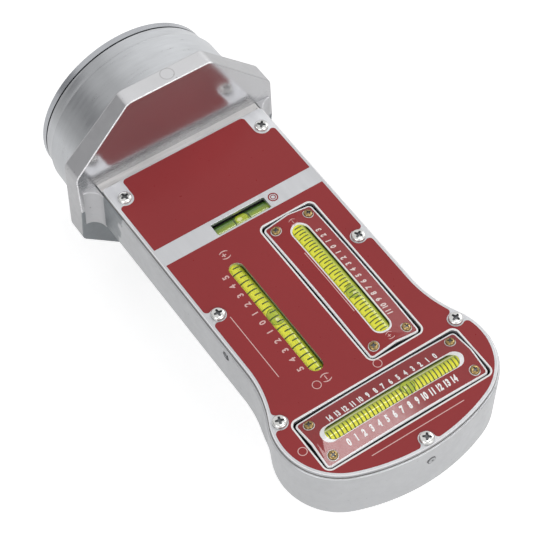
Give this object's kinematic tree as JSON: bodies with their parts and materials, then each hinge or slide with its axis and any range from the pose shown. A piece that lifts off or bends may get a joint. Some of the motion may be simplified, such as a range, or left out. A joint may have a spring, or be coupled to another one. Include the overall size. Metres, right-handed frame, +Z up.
{
  "type": "camber caster gauge",
  "caption": "Magnetic wheel alignment gauge with camber, caster, kingpin and level vials on a red face plate over a cast body with an octagon flange.",
  "frame": {"origin": "where the hub axis meets the pole face", "axes": "+Y along the hub axis towards the wheel, +X across the gauge, +Z up with the face plate level"},
  "size_m": [0.0904, 0.2065, 0.088],
  "materials": {
    "cast_body": "satin cast",
    "red_print": "screen printed satin",
    "zinc_screw": "plated",
    "pole_steel": "ground",
    "magnet_black": "sintered",
    "filler_resin": "cast resin",
    "pin_steel": "turned",
    "spring_steel": "drawn wire",
    "vial_glass": "clear",
    "vial_liquid": "dyed liquid",
    "carrier_metal": "satin cast",
    "brass_screw": "plated",
    "pad_brass": "turned"
  },
  "bodies": {
    "housing": {"housing": "cast_body", "face_plate": "red_print", "face_plate_screws": "zinc_screw", "pole_ring": "pole_steel", "magnet": "magnet_black", "inner_pole": "pole_steel", "pole_filler": "filler_resin", "centring_spring": "spring_steel", "centring_plug": "pin_steel", "camber_cradle": "carrier_metal", "camber_vial": "vial_glass", "camber_fluid": "vial_liquid", "camber_set_screw": "pin_steel", "level_vial": "vial_glass", "level_fluid": "vial_liquid", "caster_pivot_pin": "pin_steel", "caster_spring": "spring_steel", "kingpin_pivot_pin": "pin_steel", "kingpin_spring": "spring_steel"},
    "centring_pin": {"centring_pin": "pin_steel"},
    "caster_carrier": {"caster_carrier": "carrier_metal", "caster_plate": "red_print", "caster_plate_screws": "brass_screw", "caster_vial": "vial_glass", "caster_fluid": "vial_liquid"},
    "caster_pad": {"caster_pad": "pad_brass"},
    "caster_adjuster": {"caster_adjuster": "zinc_screw"},
    "kingpin_carrier": {"kingpin_carrier": "carrier_metal", "kingpin_plate": "red_print", "kingpin_plate_screws": "brass_screw", "kingpin_vial": "vial_glass", "kingpin_fluid": "vial_liquid"},
    "kingpin_pad": {"kingpin_pad": "pad_brass"},
    "kingpin_adjuster": {"kingpin_adjuster": "zinc_screw"}
  },
  "joints": [
    {"name": "centring_pin_push", "type": "slide", "parent": "housing", "child": "centring_pin", "axis": [0, 1, 0], "range_m": [-0.004, 0], "stiffness_N_per_m": 200, "springref_m": 0.003, "deforming": ["centring_spring"]},
    {"name": "caster_tilt", "type": "hinge", "parent": "housing", "child": "caster_carrier", "pos_m": [0.01443, -0.1259, 0.0026], "axis": [1, 0, 0], "range_deg": [-2.51, 2.51], "deforming": ["caster_spring"]},
    {"name": "caster_pad_lift", "type": "slide", "parent": "housing", "child": "caster_pad", "axis": [0, 0, 1], "range_m": [-0.00122, 0.00122]},
    {"name": "caster_adjuster_turn", "type": "hinge", "parent": "caster_pad", "child": "caster_adjuster", "pos_m": [0.01443, -0.1539, -0.0125], "axis": [0, 0, 1], "range_deg": [-630, 630]},
    {"name": "kingpin_tilt", "type": "hinge", "parent": "housing", "child": "kingpin_carrier", "pos_m": [0, -0.17787, 0.0026], "axis": [0, 1, 0], "range_deg": [-2.51, 2.51], "deforming": ["kingpin_spring"]},
    {"name": "kingpin_pad_lift", "type": "slide", "parent": "housing", "child": "kingpin_pad", "axis": [0, 0, 1], "range_m": [-0.00122, 0.00122]},
    {"name": "kingpin_adjuster_turn", "type": "hinge", "parent": "kingpin_pad", "child": "kingpin_adjuster", "pos_m": [0.028, -0.17787, -0.0125], "axis": [0, 0, 1], "range_deg": [-630, 630]}
  ],
  "couplings": [
    {"joint": "caster_pad_lift", "follows": "caster_tilt", "m_per_rad": -0.028},
    {"joint": "kingpin_pad_lift", "follows": "kingpin_tilt", "m_per_rad": -0.028},
    {"joint": "caster_adjuster_turn", "follows": "caster_tilt", "ratio": -251.33},
    {"joint": "kingpin_adjuster_turn", "follows": "kingpin_tilt", "ratio": -251.33}
  ]
}
